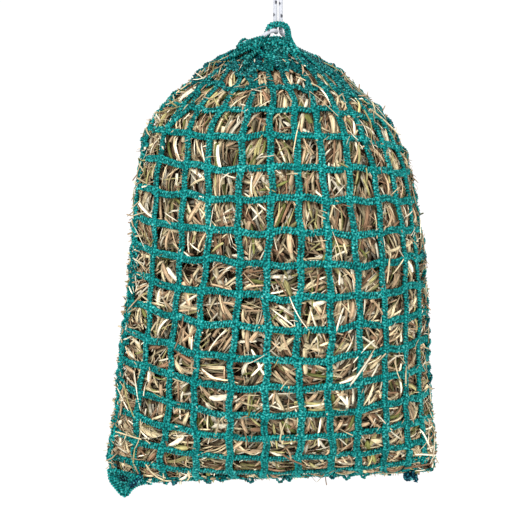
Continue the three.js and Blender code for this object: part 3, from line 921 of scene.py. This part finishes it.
def overhand_knot():
    """The overhand knot in the doubled cord: two cords side by side along one knotted loop."""
    middle = node_middle("hanging_knot")
    t = np.linspace(0, 4 * np.pi, KNOT_POINTS)
    swell = KNOT_RADIUS * (2 + np.cos(1.5 * t)) / 2
    flat = np.stack([swell * np.cos(t), swell * np.sin(t), KNOT_RADIUS / 2 * np.sin(1.5 * t)], 1)
    line = middle + np.stack([KNOT_WIDTH_SCALE * flat[:, 1], flat[:, 2], flat[:, 0]], axis=1)
    tangent = unit(np.gradient(line, axis=0))
    beside = unit(np.cross(tangent, line - middle))
    tubes = Tubes()
    for side in (-1, 1):
        path = smooth_path(line + side * KNOT_PAIR_SPREAD * beside * [1, 0.8, 1], CORD_STEP)
        tubes.add(*cord_rings(path, radius=CORD_RADIUS * 0.92, shift=4.0 * side))
    return tubes.make("overhand_knot")


# ---- the hay
HAY_COLOURS = [
    (srgb(216, 197, 158), 0.32), (srgb(188, 160, 127), 0.25), (srgb(250, 238, 210), 0.19),
    (srgb(146, 114, 88), 0.12), (srgb(172, 162, 110), 0.08), (srgb(116, 118, 66), 0.04),
]
STEM_RINGS = 7
STEM_SIDES = 4
HAY_SECTORS = 6
STEMS_PER_SECTOR = 3300
HAY_HIGHEST_ROW, HAY_LOWEST_ROW = 0.5, 16.9
UNDER_STRAND = 3.4
BULGE = 7.6
DEEPEST = 8.0
# Stems near the top lie mostly upright, and the shares that lie loose are there and below.
UPRIGHT_ROWS = 7.5
UPRIGHT_STRETCH = 1.25
LOOSE_SHARES = (0.3, 0.45)
HEADING_SPREAD = 0.24
TILT_SPREAD = BEND_SPREAD = 0.09
BLADE_SHARE = 0.5
BLADE_LENGTH, BLADE_WIDTH, BLADE_THICKNESS = (18, 38), (2.6, 6.4), (0.3, 0.7)
STEM_LENGTH, STEM_WIDTH, STEM_ROUNDNESS = (14, 40), (1.1, 2.9), (0.6, 0.95)


def stem_tubes(q0, row0, angle, length, width, thick, roll, lift, tilt, bend, bulge, colours, rng):
    """Rings, colours and lay for many stems at once, each lying along the bag's surface."""
    t = np.linspace(-0.5, 0.5, STEM_RINGS)[None, :]
    _, _, across, down = bag_frame(q0, row0)
    per_column = np.maximum(np.linalg.norm(across, axis=-1), 6.0)[:, None]
    per_row = np.maximum(np.linalg.norm(down, axis=-1), 10.0)[:, None]
    heading = angle[:, None] + bend[:, None] * t
    q = q0[:, None] + length[:, None] * t * np.cos(heading) / per_column
    row = row0[:, None] + length[:, None] * t * np.sin(heading) / per_row
    row = np.clip(row, 0.2, ROWS)
    point, normal, _, _ = bag_frame(q, row)
    open_share = np.abs(np.sin(np.pi * q) * np.sin(np.pi * row)) ** 0.8
    out = -UNDER_STRAND + lift[:, None] + bulge[:, None] * open_share
    out = out + tilt[:, None] * length[:, None] * t + pleat(q, row) * 0.6
    path = point + normal * out[..., None]
    return stem_rings(path, normal, length, width, thick, roll, colours, rng)


def stem_rings(path, normal, length, width, thick, roll, colours, rng):
    """Rings, colours and lay of many stems from their paths."""
    n = len(path)
    t = np.linspace(-0.5, 0.5, STEM_RINGS)[None, :]
    tangent = unit(np.gradient(path, axis=1))
    side = unit(np.cross(tangent, normal))
    up = np.cross(side, tangent)
    turned = side * np.cos(roll)[:, None, None] + up * np.sin(roll)[:, None, None]
    turned_up = np.cross(turned, tangent)
    taper = np.clip(1.25 - np.abs(2 * t) ** 3 * rng.uniform(0.2, 1.1, (n, 1)), 0.1, 1)
    wide = turned * (width[:, None] * taper / 2)[..., None]
    deep = turned_up * (thick[:, None] * taper / 2)[..., None]
    rings = path[:, :, None] + np.stack([wide, deep, -wide, -deep], axis=2)
    shade = np.clip(1.0 + 0.3 * (t * rng.uniform(-1, 1, (n, 1))), 0.6, 1.3)
    shade = np.broadcast_to(shade[..., None, None], (n, STEM_RINGS, STEM_SIDES, 1))
    colours = colours[:, None, None] * shade
    along = np.broadcast_to((length[:, None] * (t + 0.5))[..., None], (n, STEM_RINGS, STEM_SIDES))
    around = np.broadcast_to(np.array([0.5, 1.5, 2.5, 3.5]) * 0.7, along.shape)
    chance = np.broadcast_to(rng.random((n, 1, 1)), along.shape)
    return rings, colours, np.stack([along, around, chance], axis=-1)


def many_tubes(name, rings, colours, lay):
    """One object from equal tubes held in arrays of (tube, ring, side, xyz)."""
    n, steps, sides = rings.shape[:3]
    faces = np.concatenate(tube_faces(steps, sides))
    start = np.arange(n)[:, None, None] * steps * sides
    return make_object(name, rings.reshape(-1, 3), [(faces[None] + start).reshape(-1, 4)],
                       colours.reshape(-1, 3), lay.reshape(-1, 3))


def pick_colours(rng, n, bright):
    """A hay colour for each stem, scaled by its brightness."""
    shares = np.array([share for _, share in HAY_COLOURS])
    chosen = rng.choice(len(HAY_COLOURS), n, p=shares / shares.sum())
    base = np.array([colour for colour, _ in HAY_COLOURS])[chosen]
    return base * (bright * rng.uniform(0.75, 1.15, n))[:, None]


def hay_sector(index):
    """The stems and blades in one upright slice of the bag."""
    rng = np.random.default_rng(101 + index)
    n, span = STEMS_PER_SECTOR, AROUND / HAY_SECTORS
    row0 = HAY_HIGHEST_ROW + (HAY_LOWEST_ROW - HAY_HIGHEST_ROW) * rng.random(n) ** 0.85
    q0 = rng.uniform(index * span, (index + 1) * span, n)
    cell = np.floor(q0) * 37 + np.floor(row0) * 101
    cell_chance = np.abs(np.sin(cell * 12.9898) * 43758.5453) % 1
    upright = row0 < UPRIGHT_ROWS
    main = np.where(upright, np.pi / 2 + (cell_chance - 0.5) * 0.9, cell_chance * np.pi)
    loose = rng.random(n) < np.where(upright, *LOOSE_SHARES)
    angle = np.where(loose, rng.uniform(0, np.pi, n), main + rng.normal(0, HEADING_SPREAD, n))
    depth = DEEPEST * rng.random(n) ** 0.5
    blade = rng.random(n) < BLADE_SHARE
    length = np.where(blade, rng.uniform(*BLADE_LENGTH, n), rng.uniform(*STEM_LENGTH, n))
    length = length * np.where(upright, UPRIGHT_STRETCH, 1.0)
    width = np.where(blade, rng.uniform(*BLADE_WIDTH, n), rng.uniform(*STEM_WIDTH, n))
    thick = np.where(blade, rng.uniform(*BLADE_THICKNESS, n), width * rng.uniform(*STEM_ROUNDNESS, n))
    roll = rng.normal(0, 0.5, n)
    bulge = BULGE * (1 - 0.55 * depth / DEEPEST) * rng.uniform(0.45, 1.05, n)
    tilt = rng.normal(0, TILT_SPREAD, n)
    bend = rng.normal(0, BEND_SPREAD, n)
    # Deeper stems are coloured darker: painted shade inside the hay.
    colours = pick_colours(rng, n, 0.05 + 1.75 * (1 - depth / DEEPEST) ** 1.25)
    made = stem_tubes(q0, row0, angle, length, width, thick, roll, -depth, tilt, bend, bulge, colours,
                      rng)
    return many_tubes(f"hay_stems_{index + 1}", *made)


# Stems that lie over the netting, and ends that poke out of it, more of them near the seams.
OVER_STRAYS, END_STRAYS = 170, 2100
SEAM_STRAY_SHARE = 0.42
OVER_LENGTH, OVER_WIDTH, OVER_LIFT = (22, 50), (1.0, 2.6), (5.4, 7.0)
END_LENGTH, END_WIDTH, END_LIFT = (8, 20), (0.8, 2.2), (1.0, 4.5)


def stray_stems():
    """Pale stems that have worked out over the netting, and short ends that poke out of it."""
    rng = np.random.default_rng(77)
    n = OVER_STRAYS + END_STRAYS
    row0 = rng.uniform(0.6, ROWS, n)
    q0 = rng.uniform(0, AROUND, n)
    near_seam = rng.random(n) < SEAM_STRAY_SHARE
    q0 = np.where(near_seam, COLUMNS * rng.integers(0, 2, n) + rng.normal(0, 0.5, n), q0)
    over = np.arange(n) < OVER_STRAYS
    angle = np.where(over, np.pi / 2 + rng.normal(0, 0.8, n), rng.uniform(0, 2 * np.pi, n))
    length = np.where(over, rng.uniform(*OVER_LENGTH, n), rng.uniform(*END_LENGTH, n))
    width = np.where(over, rng.uniform(*OVER_WIDTH, n), rng.uniform(*END_WIDTH, n))
    tilt = np.where(over, rng.normal(0, 0.08, n), rng.uniform(0.2, 0.75, n))
    lift = np.where(over, rng.uniform(*OVER_LIFT, n), rng.uniform(*END_LIFT, n))
    bulge = np.where(over, 0.5, 2.5)
    bend = rng.normal(0, 0.2, n)
    colours = pick_colours(rng, n, np.where(over, 1.15, 0.95))
    made = stem_tubes(q0, row0, angle, length, width, width * 0.5, rng.normal(0, 0.4, n), lift, tilt,
                      bend, bulge, colours, rng)
    return many_tubes("hay_strays", *made)


FRINGE_SIDE = 330
FRINGE_BOTTOM = 150
FRINGE_INSIDE = 0.66
FRINGE_WIDTH = (0.9, 3.3)


def seam_fringe():
    """Ends of hay that poke out between the strands all along the side and bottom seams."""
    rng = np.random.default_rng(78)
    n = 2 * FRINGE_SIDE + FRINGE_BOTTOM
    index = np.arange(n)
    left, right = index < FRINGE_SIDE, (index >= FRINGE_SIDE) & (index < 2 * FRINGE_SIDE)
    side = left | right
    q0 = np.where(left, AROUND, np.where(right, COLUMNS, rng.uniform(0.4, COLUMNS - 0.4, n)))
    row0 = np.where(side, rng.uniform(1.2, ROWS, n), ROWS)
    place = bag_point(q0, row0)
    away = np.stack([np.where(left, -1.0, np.where(right, 1.0, 0.0)), 0 * q0,
                     np.where(side, 0.0, -1.0)], axis=1)
    away = unit(away + rng.normal(0, 1, (n, 3)) * [0.7, 0.6, 0.9])
    curl = np.cross(away, unit(rng.normal(0, 1, (n, 3))))
    length = np.where(left, 9, 7) + np.where(left, 18, 13) * rng.random(n) ** 1.4
    width = rng.uniform(*FRINGE_WIDTH, n)
    t = np.linspace(0, 1, STEM_RINGS)[None, :, None] - FRINGE_INSIDE
    reach = length[:, None, None]
    path = place[:, None] + away[:, None] * reach * t + curl[:, None] * reach * 0.3 * t**2
    normal = np.broadcast_to(unit(curl)[:, None], path.shape)
    colours = pick_colours(rng, n, np.full(n, 1.1))
    made = stem_rings(path, normal, length, width, width * 0.5, rng.normal(0, 0.4, n), colours, rng)
    return many_tubes("hay_fringe", *made)


BED_DEPTH = 10.5
BED_COLUMN_STEPS = BED_ROW_STEPS = 8
BED_FIRST_ROW, BED_LAST_ROW = 0.25, 16.85
BED_BULGE, BED_LUMPS = 3.0, 1.6
BED_DOME = np.array([0.5, 0.5, 0.22])


def hay_bed():
    """The mass behind the outer stems, dark with painted shade, uneven and bulging into every mesh."""
    across = AROUND * BED_COLUMN_STEPS
    steps = int((BED_LAST_ROW - BED_FIRST_ROW) * BED_ROW_STEPS)
    rows = np.linspace(BED_FIRST_ROW, BED_LAST_ROW, steps)
    q, row = np.meshgrid(np.arange(across) / BED_COLUMN_STEPS, rows)
    point, normal, _, _ = bag_frame(q, row)
    lumps = np.sin(9.1 * q + 3 * np.sin(2.3 * row)) * np.sin(8.3 * row + 2 * np.sin(3.1 * q))
    open_share = np.abs(np.sin(np.pi * q) * np.sin(np.pi * row))
    out = -BED_DEPTH + BED_BULGE * open_share + BED_LUMPS * lumps
    points = point + normal * out[..., None]
    dome = MOUTH_CENTRE + (points[0] - MOUTH_CENTRE) * BED_DOME
    points = np.concatenate([dome[None], points]).reshape(-1, 3)
    quads, ends = tube_faces(len(rows) + 1, across)
    inside_out = [quads[:, [0, 3, 2, 1]], ends[:, ::-1]]
    return make_object("hay_bed", points, inside_out, np.broadcast_to(srgb(80, 66, 40), points.shape))


def add_netting():
    """Both panels, the gathered mouth, the lacing and the corner knots."""
    teal = knit_material("knitted_netting", 0.55)
    dark = knit_material("knitted_dark_end", 0.6)
    for name, first in (("front", 0), ("back", COLUMNS)):
        for kind, make in (("columns", net_columns), ("rows", net_rows)):
            piece = make(f"{name}_net_{kind}", first, first + COLUMNS)
            place_piece(piece, "net_" + name, teal)
    place_piece(mouth_border(), "mouth_border", teal)
    place_piece(mouth_loop(), "mouth_loop", teal)
    place_piece(shoulder_gather(), "net_front", teal, replaces=False)
    place_piece(side_lacing("left_seam_lacing", AROUND), "lacing_left", teal)
    place_piece(side_lacing("right_seam_lacing", COLUMNS), "lacing_right", teal)
    place_piece(bottom_lacing(), "lacing_bottom", teal)
    place_piece(seam_tufts(), "lacing_bottom", teal, replaces=False)
    place_piece(folded_ear(), "corner_knot_left", teal)
    place_piece(right_corner_knot(), "corner_knot_right", dark)


def add_hay():
    """The bed and the stems."""
    stems = hay_material()
    place_piece(hay_bed(), "hay_core", painted_shade_bed_material())
    for index in range(HAY_SECTORS):
        place_piece(hay_sector(index), "hay_core", stems)
    place_piece(stray_stems(), "hay_core", stems)
    place_piece(seam_fringe(), "hay_core", stems)


# ---- stage and light
FLOOR_Z, FLOOR_HALF = -1.35, 6.0
WORLD_STRENGTH = 1.05
LIGHT_AIM = np.array([0, 0, -0.4])
# A key from the upper left, a weaker fill from the right and a rim light from behind: name,
# place, energy and size.
LIGHTS = [("key", (-1.4, -2.2, 1.2), 60.0, 0.8), ("fill", (1.8, -1.8, 0.2), 18.0, 1.2),
          ("rim", (0.6, 2.2, 0.9), 25.0, 1.0)]


def add_stage():
    """A pale floor far below the hanging bag, and a pale world."""
    look = Shading("pale_floor", 0.9, 0.1)
    look.inputs["Base Color"].default_value = (1.0, 1.0, 1.0, 1)
    h = FLOOR_HALF
    mesh = bpy.data.meshes.new("floor")
    mesh.from_pydata([(-h, -h, FLOOR_Z), (h, -h, FLOOR_Z), (h, h, FLOOR_Z), (-h, h, FLOOR_Z)],
                     [], [(0, 1, 2, 3)])
    floor = bpy.data.objects.new("floor", mesh)
    floor.data.materials.append(look.material)
    bpy.context.scene.collection.objects.link(floor)
    world = bpy.data.worlds.new("studio")
    world.use_nodes = True
    background = world.node_tree.nodes["Background"]
    background.inputs["Color"].default_value = (1, 1, 1, 1)
    background.inputs["Strength"].default_value = WORLD_STRENGTH
    bpy.context.scene.world = world


def add_light(name, place, energy, size):
    """A soft area light aimed at the middle of the bag."""
    data = bpy.data.lights.new(name, "AREA")
    data.energy, data.size = energy, size
    light = bpy.data.objects.new(name, data)
    light.location = place
    aim = LIGHT_AIM - np.array(place)
    tilt, heading = math.acos(-aim[2] / np.linalg.norm(aim)), math.atan2(aim[1], aim[0])
    light.rotation_euler = (tilt, 0, heading - math.pi / 2)
    bpy.context.scene.collection.objects.link(light)


def add_lights():
    """Every light, and plain colour handling."""
    for light in LIGHTS:
        add_light(*light)
    bpy.context.scene.view_settings.view_transform = "Standard"


add_camera()
add_cords()
add_netting()
add_hay()
add_stage()
add_lights()
